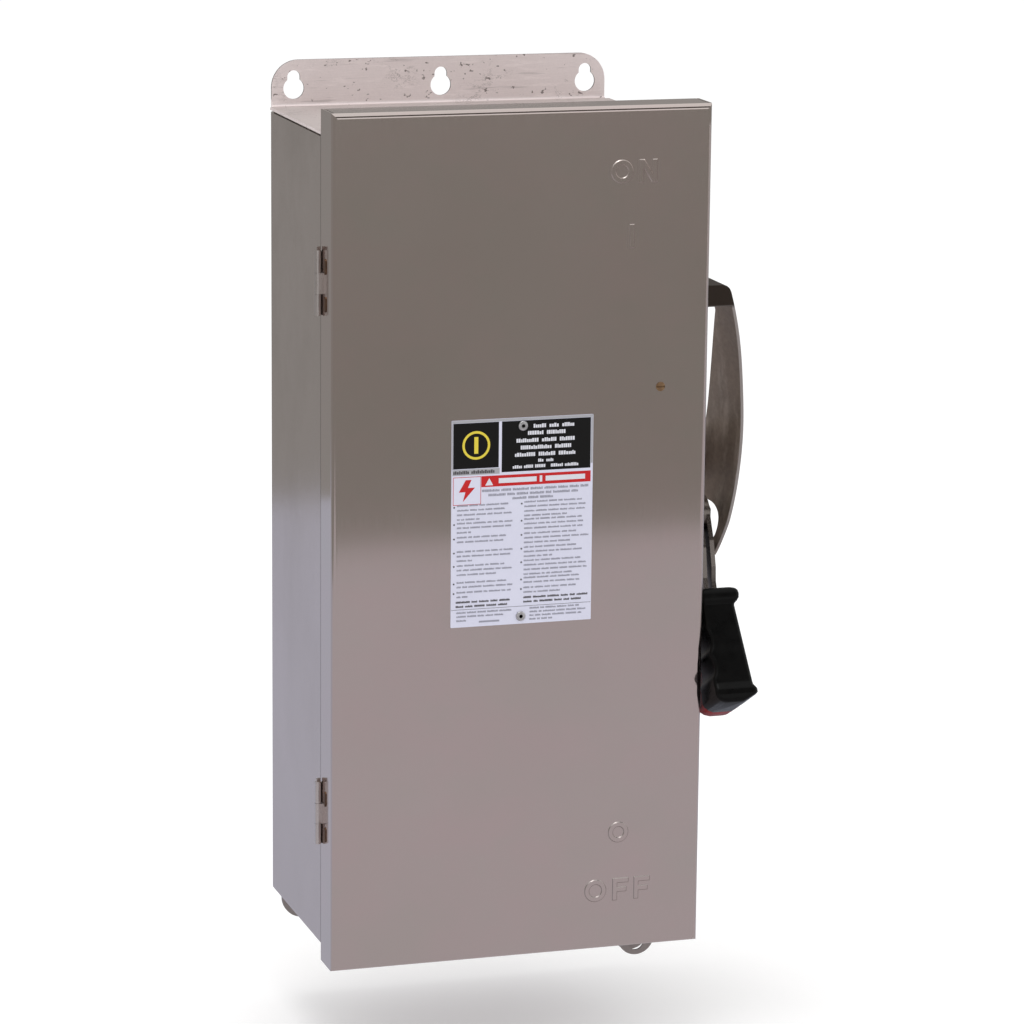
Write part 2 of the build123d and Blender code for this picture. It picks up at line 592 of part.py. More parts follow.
# -------------------------------------------------------------------- handle
lever_in = LEVER_OUT - LEVER_THICK
lever = slab_yz(
    (
        (-11.8, 4),
        (-10.9, -22),
        (-7.5, -39),
        (-3.5, -48),
        (-3, -58),
        (-3, -118),
        (9, -118),
        (9, -58),
        (11.5, -30),
        (11.8, 4),
    ),
    lever_in,
    LEVER_OUT,
)
lever = lever + rod_x(lever_in, LEVER_OUT, 0, 0, 12.3)
parts["handle_lever"] = at_handle(lever)
hub = rod_x(134.5, 144.5, 0, 0, 13) + slab_yz(
    ((-10, 2), (-8, -26), (-2, -45), (-1, -55.6), (7, -55.6), (9, -30), (10, 2)),
    144.5,
    147.5,
)
hub = hub + rod_x(144.5, lever_in, 0, 0, 13) - rod_x(130, 160, 0, 0, SHAFT_R)
parts["handle_hub"] = at_handle(hub)
cap_nut = hex_head_x(LEVER_OUT, 0, 0, 14, 2.2) + rod_x(LEVER_OUT, LEVER_OUT + 3.2, 0, 0, 4)
parts["handle_rivet"] = at_handle(cap_nut)

GRIP_LEFT = 135.4
outline = (
    (GRIP_LEFT + 1.6, -GRIP_START),
    (GRIP_LEFT, -GRIP_START - 3),
    (GRIP_LEFT, -GRIP_START - 8),
    (GRIP_LEFT + 0.6, -GRIP_START - 10),
    (GRIP_LEFT + 0.2, -GRIP_END + 8),
    (GRIP_LEFT + 3.0, -GRIP_END),
    (159.5, -GRIP_END),
    (164.6, -GRIP_END + 4),
    (165.0, -GRIP_END + 7),
    (163.0, -GRIP_END + 10),
    (158.3, -GRIP_START - 12),
    (161.4, -GRIP_START - 8),
    (162.0, -GRIP_START - 5),
    (161.2, -GRIP_START - 1.6),
    (159.5, -GRIP_START),
)
SCALLOP_R = 13.6
SCALLOP_DEPTH = 2.4
scallops = []
for scallop_z in (-91.0, -108.5):
    scallops.append(rod_y(GRIP_LEFT + SCALLOP_DEPTH - SCALLOP_R, -40, 40, scallop_z, SCALLOP_R))
grip_front = slab_xz(outline, GRIP_FRONT, GRIP_SPLIT)
grip_front = fillet(grip_front.faces().sort_by(Axis.Y)[0].edges(), 1.6)
grip_back = slab_xz(outline, GRIP_SPLIT, GRIP_BACK)
grip_back = fillet(grip_back.faces().sort_by(Axis.Y)[-1].edges(), 1.6)
for scallop in scallops:
    grip_front = grip_front - scallop
    grip_back = grip_back - scallop
parts["grip_front_half"] = at_handle(grip_front - lever)
parts["grip_back_half"] = at_handle(grip_back - lever)

# ---------------------------------------------------------------- lock plate
PLATE_T = 2.0
PLATE_FRONT = -133.0
PLATE_TOP = -119.0
PLATE_CORNER = 6.0
PLATE_END = -301.0
WEB_BACK = -97.0
REAR_BACK = -64.0
bow = (
    (157.1, PLATE_TOP),
    (160.9, -133.0),
    (165.2, -156.0),
    (168.0, -188.0),
    (168.8, -212.0),
    (167.1, -240.0),
    (163.0, -266.0),
    (157.8, -287.5),
    (155.0, PLATE_END),
)
bow_in = []
for bx, bz in bow:
    bow_in.append((bx - PLATE_T, bz))
with BuildSketch(Plane.XZ.offset(50)) as bow_sketch:
    with BuildLine():
        Spline(*bow)
        Line(bow[-1], bow_in[-1])
        Spline(*reversed(bow_in))
        Line(bow_in[0], bow[0])
    make_face()
sheet_bow = extrude(bow_sketch.sketch, amount=-PLATE_FRONT - 50)
with BuildSketch(Plane.YZ.offset(120)) as side_sketch:
    with BuildLine():
        Polyline((WEB_BACK, -141.6), (WEB_BACK, -110), (PLATE_FRONT - 1, -110), (PLATE_FRONT - 1, -264))
        tail = ((PLATE_FRONT - 1, -264), (-131.0, -284), (-124.5, -298), (-115, -303))
        Spline(*tail, tangents=((0, -1), (1, 0)))
        Line((-115, -303), (-115, -292))
        Spline((-115, -292), (-119.2, -284), (-117.3, -277), (-110, -272), (-98, -269.8))
        Polyline((-98, -269.8), (-70, -269.8), (REAR_BACK, -264), (REAR_BACK, -236))
        Spline((REAR_BACK, -236), (-68, -215.7), (-75.3, -189.2), (-86, -160), (WEB_BACK, -141.6))
    make_face()
plate = sheet_bow & extrude(side_sketch.sketch, amount=70)
plate = plate + block(BODY_HALF, 156.0, PLATE_FRONT, WEB_BACK, PLATE_TOP - PLATE_T, PLATE_TOP)
front_web = ((BODY_HALF, PLATE_TOP), (155.9, PLATE_TOP), (159.6, -133.0), (BODY_HALF, -133.0))
plate = plate + slab_xz(front_web, PLATE_FRONT, PLATE_FRONT + PLATE_T)
# the corner between the top web and the strap is bent, not square
corner_x = 152.5
corner_z = PLATE_TOP - PLATE_CORNER
corner_fill = block(corner_x, 158.3, PLATE_FRONT, WEB_BACK, corner_z, PLATE_TOP)
plate = plate + (corner_fill - rod_y(corner_x, -150, -80, corner_z, PLATE_CORNER - PLATE_T))
corner_waste = block(corner_x, 170, -150, -80, corner_z + 1.58, PLATE_TOP + 5)
plate = plate - (corner_waste - rod_y(corner_x, -160, -70, corner_z, PLATE_CORNER))
plate = plate + block(BODY_HALF, BODY_HALF + PLATE_T, -127, WEB_BACK, PLATE_TOP - PLATE_T, -94)
plate = plate + block(BODY_HALF, 164.2, REAR_BACK - PLATE_T, REAR_BACK, -258, -226)
plate = plate + block(BODY_HALF, BODY_HALF + PLATE_T, REAR_BACK - PLATE_T, REAR_BACK + 20, -264, -220)
lock_bolts = []
for ly, lz in ((-120, -105), (-104, -105), (-54, -253), (-54, -231)):
    lock_bolts.append(hex_head_x(BODY_HALF + 2, ly, lz, 8, 4.0))
parts["lock_plate"] = plate
parts["lock_plate_bolts"] = all_of(lock_bolts)

for name, shape in parts.items():
    export_step(shape, "parts/" + name + ".step")
    print(name, len(shape.solids()), round(shape.volume, 1), shape.is_valid)
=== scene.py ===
import bpy
import bmesh
import math
import random
from mathutils import Matrix, Vector


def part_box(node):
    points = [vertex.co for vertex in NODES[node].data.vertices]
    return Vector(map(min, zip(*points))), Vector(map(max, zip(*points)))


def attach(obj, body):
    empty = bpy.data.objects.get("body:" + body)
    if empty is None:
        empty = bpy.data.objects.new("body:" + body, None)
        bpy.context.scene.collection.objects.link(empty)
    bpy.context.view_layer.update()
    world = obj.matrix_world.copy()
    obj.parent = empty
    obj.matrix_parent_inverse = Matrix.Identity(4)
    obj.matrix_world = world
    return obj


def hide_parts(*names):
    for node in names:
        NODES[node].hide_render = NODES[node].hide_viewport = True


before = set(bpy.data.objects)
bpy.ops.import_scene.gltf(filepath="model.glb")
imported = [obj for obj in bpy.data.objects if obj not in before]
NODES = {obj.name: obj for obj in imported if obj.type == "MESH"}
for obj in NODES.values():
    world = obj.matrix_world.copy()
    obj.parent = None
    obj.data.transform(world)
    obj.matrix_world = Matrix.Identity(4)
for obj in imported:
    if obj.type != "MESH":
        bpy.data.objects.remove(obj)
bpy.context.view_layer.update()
MM = 0.001
random.seed(11)


# places, in metres in the shared frame, where the painted masks of the sheet begin and end
MARKS_X = (0.040, 0.045)            # left of the embossed marks
MARKS_END_X = (0.122, 0.126)        # right of them
MARKS_SPLIT_Z = (-0.46, -0.44)      # between the upper marks and the lower ones
DOOR_FOOT_Z = (-0.540, -0.535)      # just above the door's lower bend
DOOR_HEAD_Z = (-0.012, -0.008)      # just below its upper bend
RIGHT_BEND_X = (0.1295, 0.1305)     # where its right bend starts
FLANGE_FOOT_Z = (-0.0075, -0.0060)  # where the flange leaves the top panel
SKIRT_Z = (-0.01345, -0.01325)      # the top panel's turned-down skirt
PLATE_FOLD_Z = (-0.1345, -0.1320)   # the lock plate's upper fold
TOP_SHADE_FADE_Z = (-0.40, -0.05)       # the left wall's painted shade grows over this height
DULL_ROUGHNESS = 0.30


# ------------------------------------------------------------------ materials
class Shader:
    """A principled material with a few procedural helpers."""

    def __init__(self, name, color, metallic=0.0, roughness=0.5):
        self.mat = bpy.data.materials.new(name)
        self.mat.use_nodes = True
        self.tree = self.mat.node_tree
        self.bsdf = self.tree.nodes["Principled BSDF"]
        self.bsdf.inputs["Base Color"].default_value = (*color, 1.0)
        self.bsdf.inputs["Metallic"].default_value = metallic
        self.bsdf.inputs["Roughness"].default_value = roughness
        self.coords = self.tree.nodes.new("ShaderNodeTexCoord").outputs["Object"]
        self.duller = ()

    def set(self, **values):
        for key, value in values.items():
            self.bsdf.inputs[key.replace("_", " ")].default_value = value
        return self

    def link(self, out, into):
        self.tree.links.new(out, into)

    def noise(self, scale, detail=4.0, stretch=(1.0, 1.0, 1.0), shift=(0.0, 0.0, 0.0), rough=0.55):
        mapping = self.tree.nodes.new("ShaderNodeMapping")
        mapping.inputs["Scale"].default_value = stretch
        mapping.inputs["Location"].default_value = shift
        self.link(self.coords, mapping.inputs["Vector"])
        tex = self.tree.nodes.new("ShaderNodeTexNoise")
        tex.inputs["Scale"].default_value = scale
        tex.inputs["Detail"].default_value = detail
        tex.inputs["Roughness"].default_value = rough
        self.link(mapping.outputs["Vector"], tex.inputs["Vector"])
        return tex.outputs["Fac"]

    def ramp(self, fac, stops):
        node = self.tree.nodes.new("ShaderNodeValToRGB")
        items = node.color_ramp.elements
        while len(items) < len(stops):
            items.new(0.5)
        for item, (pos, col) in zip(items, stops):
            item.position = pos
            item.color = (*col, 1.0) if len(col) == 3 else col
        self.link(fac, node.inputs["Fac"])
        return node.outputs["Color"]

    def span(self, fac, low, high, from_low=0.3, from_high=0.7):
        node = self.tree.nodes.new("ShaderNodeMapRange")
        node.inputs["From Min"].default_value = from_low
        node.inputs["From Max"].default_value = from_high
        node.inputs["To Min"].default_value = low
        node.inputs["To Max"].default_value = high
        self.link(fac, node.inputs["Value"])
        return node.outputs["Result"]

    def mix(self, fac, a, b, blend="MIX"):
        node = self.tree.nodes.new("ShaderNodeMix")
        node.data_type = "RGBA"
        node.blend_type = blend
        for index, value in ((0, fac), (6, a), (7, b)):
            if hasattr(value, "is_linked"):
                self.link(value, node.inputs[index])
            elif index == 0:
                node.inputs[index].default_value = value
            else:
                node.inputs[index].default_value = (*value, 1.0)
        return node.outputs[2]

    def xyz(self, vector):
        node = self.tree.nodes.new("ShaderNodeSeparateXYZ")
        self.link(vector, node.inputs[0])
        return node.outputs

    def facing(self):
        return self.xyz(self.tree.nodes["Texture Coordinate"].outputs["Normal"])

    def both(self, *masks):
        """The product of several masks."""
        total = masks[0]
        for mask in masks[1:]:
            node = self.tree.nodes.new("ShaderNodeMath")
            node.operation = "MULTIPLY"
            self.link(total, node.inputs[0])
            self.link(mask, node.inputs[1])
            total = node.outputs[0]
        return total

    def color(self, out):
        self.link(out, self.bsdf.inputs["Base Color"])
        return self

    def roughness(self, out):
        self.link(out, self.bsdf.inputs["Roughness"])
        return self

    def bump(self, height, strength=0.2, distance=0.0002):
        node = self.tree.nodes.new("ShaderNodeBump")
        node.inputs["Strength"].default_value = strength
        node.inputs["Distance"].default_value = distance
        self.link(height, node.inputs["Height"])
        if self.bsdf.inputs["Normal"].is_linked:
            self.link(self.bsdf.inputs["Normal"].links[0].from_socket, node.inputs["Normal"])
        self.link(node.outputs["Normal"], self.bsdf.inputs["Normal"])
        return self


def painted_top_shade(s, tone):
    """Cloudy brownish patches of painted shade, strongest near the top of the left wall."""
    cloud = s.noise(9.0, 5.0, (1.0, 1.0, 0.8), (0.6, 0.9, 0.2), 0.6)
    high = s.span(s.xyz(s.coords)["Z"], 0.25, 1.0, *TOP_SHADE_FADE_Z)
    # painted shade: darker brown patches, stronger higher up the wall
    return s.mix(s.both(s.span(cloud, 0.0, 0.50, 0.44, 0.66), high), tone, (0.36, 0.305, 0.265))


def mottle_and_mark_shade(s, tone):
    """A faint warm and cool mottle, painted shade on the sloping sides of the embossed marks, and duller
    sides on the marks and the right bend.
    """
    warm = s.noise(13.0, 6.0, (1.0, 1.0, 1.4), (2.2, 0.1, 1.3), 0.62)
    tone = s.mix(s.span(warm, 0.0, 0.55, 0.42, 0.62), tone, (0.625, 0.520, 0.500))
    cool = s.noise(10.0, 6.0, (1.0, 1.0, 1.2), (5.2, 0.7, 3.3), 0.62)
    tone = s.mix(s.span(cool, 0.0, 0.40, 0.50, 0.70), tone, (0.560, 0.530, 0.480))
    place = s.xyz(s.coords)
    toward = s.facing()["Y"]
    sloping = s.both(s.span(toward, 0.0, 1.0, -0.97, -0.90), s.span(toward, 1.0, 0.0, -0.30, -0.20))
    right = s.span(place["X"], 0.0, 1.0, *MARKS_X)
    inside = s.span(place["X"], 1.0, 0.0, *MARKS_END_X)
    lower = s.span(place["Z"], 1.0, 0.0, *MARKS_SPLIT_Z)
    above_edge = s.span(place["Z"], 0.0, 1.0, *DOOR_FOOT_Z)
    marks = s.both(sloping, right, inside, lower, above_edge)
    below_top = s.span(place["Z"], 1.0, 0.0, *DOOR_HEAD_Z)
    right_bend = s.span(place["X"], 0.0, 1.0, *RIGHT_BEND_X)
    s.duller = (s.both(sloping, right, inside, below_top, above_edge), s.both(sloping, right_bend, below_top))
    # painted shade: the sloping sides of the lower embossed marks are darkened
    tone = s.mix(marks, tone, (0.43, 0.385, 0.370))
    # painted shade, lighter, on the sloping sides of the upper marks
    upper = s.both(sloping, right, inside, s.span(place["Z"], 0.0, 1.0, *MARKS_SPLIT_Z))
    return s.mix(s.both(upper, below_top), tone, (0.53, 0.468, 0.440))


def edged(s, tone):
    """Painted shade darkens upward faces a little, the flange's sheared outline and keyhole rims more, and
    the skirt under the top panel most; fine dark scratches are added too.
    """
    place = s.xyz(s.coords)
    facing = s.facing()
    sheared = s.both(s.span(facing["Y"], 0.0, 1.0, -0.80, -0.50), s.span(facing["Y"], 1.0, 0.0, 0.50, 0.80))
    on_flange = s.span(place["Z"], 0.0, 1.0, *FLANGE_FOOT_Z)
    # painted shade: faces that look upwards are darkened
    tone = s.mix(s.span(facing["Z"], 0.0, 0.6, 0.85, 0.95), tone, (0.36, 0.315, 0.295))
    # painted shade on the flange's sheared edges and keyhole rims
    tone = s.mix(s.both(sheared, on_flange), tone, (0.16, 0.145, 0.14))
    # painted shade in the groove: the skirt under the top panel is near black
    tone = s.mix(s.span(place["Z"], 1.0, 0.0, *SKIRT_Z), tone, (0.10, 0.085, 0.075))
    scratch = s.noise(24.0, 7.0, (1.0, 1.0, 2.2), (4.4, 0.0, 2.9), 0.75)
    fine = s.both(s.span(scratch, 0.0, 1.0, 0.488, 0.494), s.span(scratch, 1.0, 0.0, 0.499, 0.505))
    where = s.span(s.noise(17.0, 3.0, (1.0, 1.0, 1.0), (8.1, 0.0, 0.0)), 0.0, 0.8, 0.50, 0.62)
    return s.mix(s.both(fine, where), tone, (0.20, 0.17, 0.16))


def stainless(name, dark, light, rough_low, rough_high, grain=0.03, scuffs=0.0, across=False, metallic=1.0,
              extra=None):
    """Satin rolled sheet: cloudy tone, very fine grain along Z (or along X), optional scratches and pits."""
    s = Shader(name, light, metallic=metallic, roughness=rough_high)
    cloud = s.noise(5.0, 3.0, (1.0, 1.0, 0.7))
    stretch = (4.0, 90.0, 90.0) if across else (90.0, 90.0, 4.0)
    lines = s.noise(22.0, 2.0, stretch)
    fine = s.noise(900.0, 1.0)
    tone = s.ramp(cloud, ((0.3, dark), (0.7, light)))
    tone = s.mix(0.18, tone, s.ramp(lines, ((0.35, dark), (0.65, light))))
    tone = s.mix(0.10, tone, s.ramp(fine, ((0.35, dark), (0.65, light))))
    gloss = s.span(lines, rough_low, rough_high)
    if scuffs > 0.0:
        marks = s.noise(70.0, 6.0, (0.35, 1.0, 2.6), (3.1, 0.0, 1.7), 0.7)
        pits = s.noise(330.0, 2.0, (0.7, 1.0, 1.0), (0.4, 0.2, 0.9))
        streaks = s.noise(36.0, 3.0, (0.5, 3.0, 9.0), (1.7, 0.3, 0.6), 0.6)
        spot = s.span(marks, 0.0, scuffs * 0.5, 0.55, 0.68)
        tone = s.mix(spot, tone, tuple(min(1.0, 1.15 * c) for c in light))
        line = s.span(streaks, 0.0, scuffs * 0.5, 0.60, 0.66)
        tone = s.mix(line, tone, tuple(0.62 * c for c in dark))
        fleck = s.span(pits, 0.0, scuffs, 0.67, 0.71)
        tone = s.mix(fleck, tone, (0.15, 0.12, 0.11))
        s.bump(marks, 0.12, 0.0002)
    if extra:
        tone = extra(s, tone)
    for mask in s.duller:
        gloss = s.mix(mask, gloss, (DULL_ROUGHNESS,) * 3)
    s.color(tone)
    s.roughness(gloss)
    s.bump(lines, grain, 0.00003)
    return s.mat


M_SHEET = stainless("stainless_sheet", (0.575, 0.503, 0.470), (0.620, 0.550, 0.520), 0.065, 0.10, 0.02)
# the door's extra layer adds a mottle and painted shade on the embossed marks' sides
M_DOOR = stainless("stainless_door", (0.575, 0.503, 0.470), (0.620, 0.550, 0.520), 0.065, 0.10, 0.02,
                   extra=mottle_and_mark_shade)
# the wrap's extra layer is painted shade growing towards the top of the walls
M_WRAP = stainless("stainless_wrap", (0.540, 0.470, 0.435), (0.640, 0.565, 0.540), 0.13, 0.19, 0.02, 0.10,
                   extra=painted_top_shade)
# the flange's extra layer adds painted shade on its edges, upward faces and skirt, and fine scratches
M_FLANGE = stainless("stainless_flange", (0.66, 0.578, 0.566), (0.88, 0.785, 0.775), 0.42, 0.56, 0.04,
                     scuffs=0.85, across=True, metallic=0.35, extra=edged)
M_HINGE = stainless("stainless_hinge", (0.56, 0.52, 0.50), (0.66, 0.62, 0.60), 0.26, 0.34, 0.02)
M_FOOT = stainless("stainless_foot", (0.24, 0.22, 0.20), (0.40, 0.36, 0.34), 0.28, 0.40, 0.06, 0.3)
M_LEVER = stainless("stainless_lever", (0.17, 0.148, 0.135), (0.24, 0.212, 0.196), 0.24, 0.32, 0.03, 0.12)
M_ZINC = stainless("zinc_plate", (0.50, 0.50, 0.48), (0.68, 0.68, 0.65), 0.28, 0.42, 0.05, 0.15)


def lock_plate_steel():
    """Sheared sheet: brown with lighter rubbed streaks, a painted highlight on its front-facing cut edge and
    painted shade over its upper fold.
    """
    s = Shader("lock_plate_steel", (0.30, 0.255, 0.225), 1.0, 0.34)
    cloud = s.noise(34.0, 5.0, (1.0, 1.0, 0.6))
    fine = s.noise(420.0, 2.0, (1.0, 0.4, 1.0))
    tone = s.ramp(cloud, ((0.3, (0.36, 0.300, 0.245)), (0.7, (0.56, 0.480, 0.410))))
    tone = s.mix(0.2, tone, s.ramp(fine, ((0.35, (0.30, 0.25, 0.21)), (0.65, (0.58, 0.50, 0.43)))))
    front = s.span(s.facing()["Y"], 1.0, 0.0, -0.95, -0.80)
    high = s.span(s.xyz(s.coords)["Z"], 0.0, 1.0, *PLATE_FOLD_Z)
    rub = s.noise(30.0, 7.0, (1.0, 0.6, 0.35), (1.3, 2.2, 0.4), 0.7)
    tone = s.mix(s.span(rub, 0.0, 0.8, 0.50, 0.66), tone, (0.80, 0.73, 0.66))
    # painted shade: everything above the upper fold gets these near-black tones
    fold_painted_shade = s.mix(cloud, (0.035, 0.026, 0.020), (0.085, 0.068, 0.058))
    # painted highlight: faces toward the front, the cut edge, get a lighter flat tone
    tone = s.mix(front, tone, (0.46, 0.425, 0.405))
    tone = s.mix(high, tone, fold_painted_shade)
    s.color(tone)
    s.roughness(s.span(cloud, 0.52, 0.70))
    s.bump(fine, 0.10, 0.00006)
    return s.mat


M_PLATE = lock_plate_steel()


def plain(name, dark, light, metallic, rough, scale=60.0, bump=0.12, **extra):
    s = Shader(name, light, metallic, rough)
    cloud = s.noise(scale, 6.0)
    fine = s.noise(scale * 14.0, 2.0)
    s.color(s.mix(0.3, s.ramp(cloud, ((0.3, dark), (0.7, light))), s.ramp(fine, ((0.3, dark), (0.7, light)))))
    s.roughness(s.span(cloud, rough * 0.85, min(1.0, rough * 1.15)))
    s.bump(fine, bump, 0.00008)
    s.set(**extra)
    return s.mat


M_TINT = plain("weld_heat_tint", (0.06, 0.03, 0.02), (0.20, 0.11, 0.06), 0.9, 0.42, 240.0, 0.3)
M_BRASS = plain("screw_brass", (0.20, 0.11, 0.06), (0.42, 0.28, 0.16), 1.0, 0.38, 300.0, 0.2)
M_GASKET = plain("gasket_foam", (0.020, 0.020, 0.021), (0.045, 0.045, 0.047), 0.0, 0.85, 180.0, 0.6)
M_LABEL = plain("label_stock", (0.60, 0.60, 0.72), (0.64, 0.64, 0.755), 0.0, 0.42, 30.0, 0.02,
                Specular_IOR_Level=0.25)
M_RIVET = plain("rivet_aluminium", (0.45, 0.45, 0.46), (0.72, 0.72, 0.73), 1.0, 0.35, 300.0, 0.2)
M_BLACK = plain("grip_black_vinyl", (0.0022, 0.0022, 0.0022), (0.0042, 0.0041, 0.0040), 0.0, 0.30, 120.0,
                0.12, Specular_IOR_Level=0.10)
M_RED = plain("grip_red_vinyl", (0.17, 0.014, 0.016), (0.24, 0.022, 0.024), 0.0, 0.42, 120.0, 0.12,
              Specular_IOR_Level=0.15)
M_BASE = plain("moulded_base", (0.030, 0.030, 0.032), (0.060, 0.058, 0.056), 0.0, 0.55, 90.0, 0.3)
M_BAR = plain("glass_polyester", (0.34, 0.05, 0.03), (0.52, 0.10, 0.06), 0.0, 0.55, 90.0, 0.3)
M_FIBRE = plain("arc_fibre", (0.10, 0.10, 0.11), (0.17, 0.17, 0.18), 0.0, 0.7, 90.0, 0.35)
M_COPPER = plain("plated_copper", (0.52, 0.26, 0.15), (0.80, 0.46, 0.30), 1.0, 0.30, 120.0, 0.08)
M_LUG = plain("lug_aluminium", (0.60, 0.60, 0.61), (0.80, 0.80, 0.81), 1.0, 0.32, 140.0, 0.12)
M_CLEAR = plain("clear_shield", (0.82, 0.86, 0.88), (0.90, 0.94, 0.96), 0.0, 0.10, 20.0, 0.02,
                Transmission_Weight=1.0, IOR=1.5)

CAD_LOOKS = {
    "enclosure_wrap": M_WRAP,
    "top_panel_and_flange": M_FLANGE,
    "bottom_panel": M_SHEET,
    "mounting_feet": M_FOOT,
    "front_rim": M_SHEET,
    "hinge_knuckles_body": M_HINGE,
    "hinge_pins": M_HINGE,
    "body_hasp_ear": M_FOOT,
    "door_pan": M_DOOR,
    "hinge_knuckles_door": M_HINGE,
    "hinge_weld_beads": M_TINT,
    "door_gasket": M_GASKET,
    "door_hasp_ear": M_FOOT,
    "label_plate": M_LABEL,
    "label_rivets": M_RIVET,
    "defeater_screw": M_BRASS,
    "defeater_bush": M_HINGE,
    "interlock_catch_arm": M_ZINC,
    "defeater_nut": M_ZINC,
    "back_pan": M_ZINC,
    "pan_standoffs": M_ZINC,
    "pan_screws": M_ZINC,
    "line_base": M_BASE,
    "hinge_base": M_BASE,
    "load_base": M_BASE,
    "line_jaws": M_COPPER,
    "hinge_jaws_and_fuse_clips": M_COPPER,
    "load_fuse_clips": M_COPPER,
    "blade_pivot_pins": M_ZINC,
    "line_lugs": M_LUG,
    "load_lugs": M_LUG,
    "arc_shields": M_FIBRE,
    "phase_barriers": M_FIBRE,
    "arc_plates": M_ZINC,
    "line_shield": M_CLEAR,
    "ground_lug": M_LUG,
    "lug_screws": M_ZINC,
    "mechanism_frame": M_ZINC,
    "rotor_bracket": M_ZINC,
    "blade_crossbar": M_BAR,
    "knife_blades": M_COPPER,
    "rotor_end_arm": M_ZINC,
    "rotor_crank": M_ZINC,
    "handle_shaft": M_HINGE,
    "drive_crank": M_ZINC,
    "interlock_hook": M_ZINC,
    "drive_link": M_ZINC,
    "shaft_seal": M_GASKET,
    "shaft_bearing": M_HINGE,
    "bearing_screws": M_HINGE,
    "handle_lever": M_LEVER,
    "handle_hub": M_LEVER,
    "handle_rivet": M_LEVER,
    "grip_front_half": M_BLACK,
    "grip_back_half": M_RED,
    "lock_plate": M_PLATE,
    "lock_plate_bolts": M_HINGE,
}
for node_name, material in CAD_LOOKS.items():
    slots = NODES[node_name].data.materials
    slots.clear()
    slots.append(material)


def print_ink(name, tone, rough=0.5, level=0.2):
    low_tone = tuple(0.93 * c for c in tone)
    return plain(name, low_tone, tone, 0.0, rough, 260.0, 0.03, Specular_IOR_Level=level)


# --------------------------------------------------------------- mesh helpers
def closed_mesh(name, verts, faces, material):
    """A mesh whose faces are turned outwards."""
    mesh = bpy.data.meshes.new(name)
    mesh.from_pydata(verts, [], faces)
    mesh.materials.append(material)
    work = bmesh.new()
    work.from_mesh(mesh)
    bmesh.ops.recalc_face_normals(work, faces=work.faces)
    work.to_mesh(mesh)
    work.free()
    return mesh


def smoothed(mesh, sharp_from):
    """Smooth shading, kept sharp where faces meet at more than this many degrees."""
    for face in mesh.polygons:
        face.use_smooth = True
    mesh.set_sharp_from_angle(angle=math.radians(sharp_from))
    return mesh


def placed(name, data):
    obj = bpy.data.objects.new(name, data)
    bpy.context.scene.collection.objects.link(obj)
    return obj


# ------------------------------------------------------------- label printing
LABEL_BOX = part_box("label_plate")
LABEL_X = LABEL_BOX[0][0]
LABEL_TOP = LABEL_BOX[1][2]
LABEL_W = LABEL_BOX[1][0] - LABEL_X
LABEL_H = LABEL_TOP - LABEL_BOX[0][2]
LABEL_Y = LABEL_BOX[0][1]
INK = 0.05 * MM


class Print:
    """Patches of one ink on the label, each a thin closed plate; u runs right and v down, both 0 to 1."""

    def __init__(self, name, material, layer):
        self.name = name
        self.material = material
        self.near = LABEL_Y - INK * layer
        self.verts = []
        self.faces = []

    def shape(self, points):
        count = len(points)
        start = len(self.verts)
        for y in (self.near - INK, self.near):
            for u, v in points:
                self.verts.append((LABEL_X + u * LABEL_W, y, LABEL_TOP - v * LABEL_H))
        self.faces.append(tuple(range(start, start + count)))
        self.faces.append(tuple(reversed(range(start + count, start + 2 * count))))
        for i in range(count):
            j = (i + 1) % count
            self.faces.append((start + j, start + i, start + count + i, start + count + j))

    def bar(self, u0, v0, u1, v1):
        self.shape(((u0, v1), (u1, v1), (u1, v0), (u0, v0)))

    def disc(self, u, v, r, sides=20):
        points = []
        for i in range(sides):
            turn = -2.0 * math.pi * i / sides
            points.append((u + r * math.cos(turn), v + r * math.sin(turn) * LABEL_W / LABEL_H))
        self.shape(points)

    def words(self, u0, u1, v, high, shortest, longest, gap):
        """A line of words, each a row of small blocks of two or three heights that spell nothing."""
        cell = high * 0.62 * LABEL_H / LABEL_W
        u = u0
        while u < u1 - shortest:
            end = min(u1, u + random.uniform(shortest, longest))
            while u < end - 0.4 * cell:
                wide = cell * random.uniform(0.70, 1.15)
                tall = high * random.choice((1.0, 1.0, 0.78))
                low = v + high / 2
                self.bar(u, low - tall, u + wide * 0.80, low)
                u += wide
            u += gap

    def done(self):
        obj = placed(self.name, closed_mesh(self.name, self.verts, self.faces, self.material))
        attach(obj, "door")
        return obj


black_ink = Print("label_black_blocks", print_ink("ink_black", (0.0045, 0.0042, 0.004)), 0)
black_ink.bar(0.011, 0.014, 0.331, 0.233)
black_ink.bar(0.352, 0.014, 0.982, 0.258)
black_ink.done()

band_ink = Print("label_grey_band", print_ink("ink_band", (0.36, 0.36, 0.385)), 0)
band_ink.bar(0.006, 0.236, 0.338, 0.264)
band_ink.bar(0.002, 0.001, 0.998, 0.0125)
band_ink.bar(0.002, 0.0130, 0.0095, 0.2350)
band_ink.bar(0.9845, 0.0130, 0.998, 0.2350)
band_ink.done()

yellow_ink = Print("label_yellow_mark", print_ink("ink_yellow", (0.70, 0.56, 0.055)), 1)
MARK_U, MARK_V, MARK_R = 0.172, 0.122, 0.098
RING_SIDES = 28
for i in range(RING_SIDES):
    ring = []
    for r, step in ((MARK_R, i), (MARK_R, i + 1), (MARK_R * 0.83, i + 1), (MARK_R * 0.83, i)):
        turn = 2.0 * math.pi * step / RING_SIDES
        ring.append((MARK_U + r * math.cos(turn), MARK_V + r * math.sin(turn) * LABEL_W / LABEL_H))
    yellow_ink.shape(ring)
yellow_ink.bar(MARK_U - 0.014, MARK_V - 0.040, MARK_U + 0.014, MARK_V + 0.040)
yellow_ink.done()

white_ink = Print("label_white_bars", print_ink("ink_white", (0.66, 0.66, 0.72)), 2)
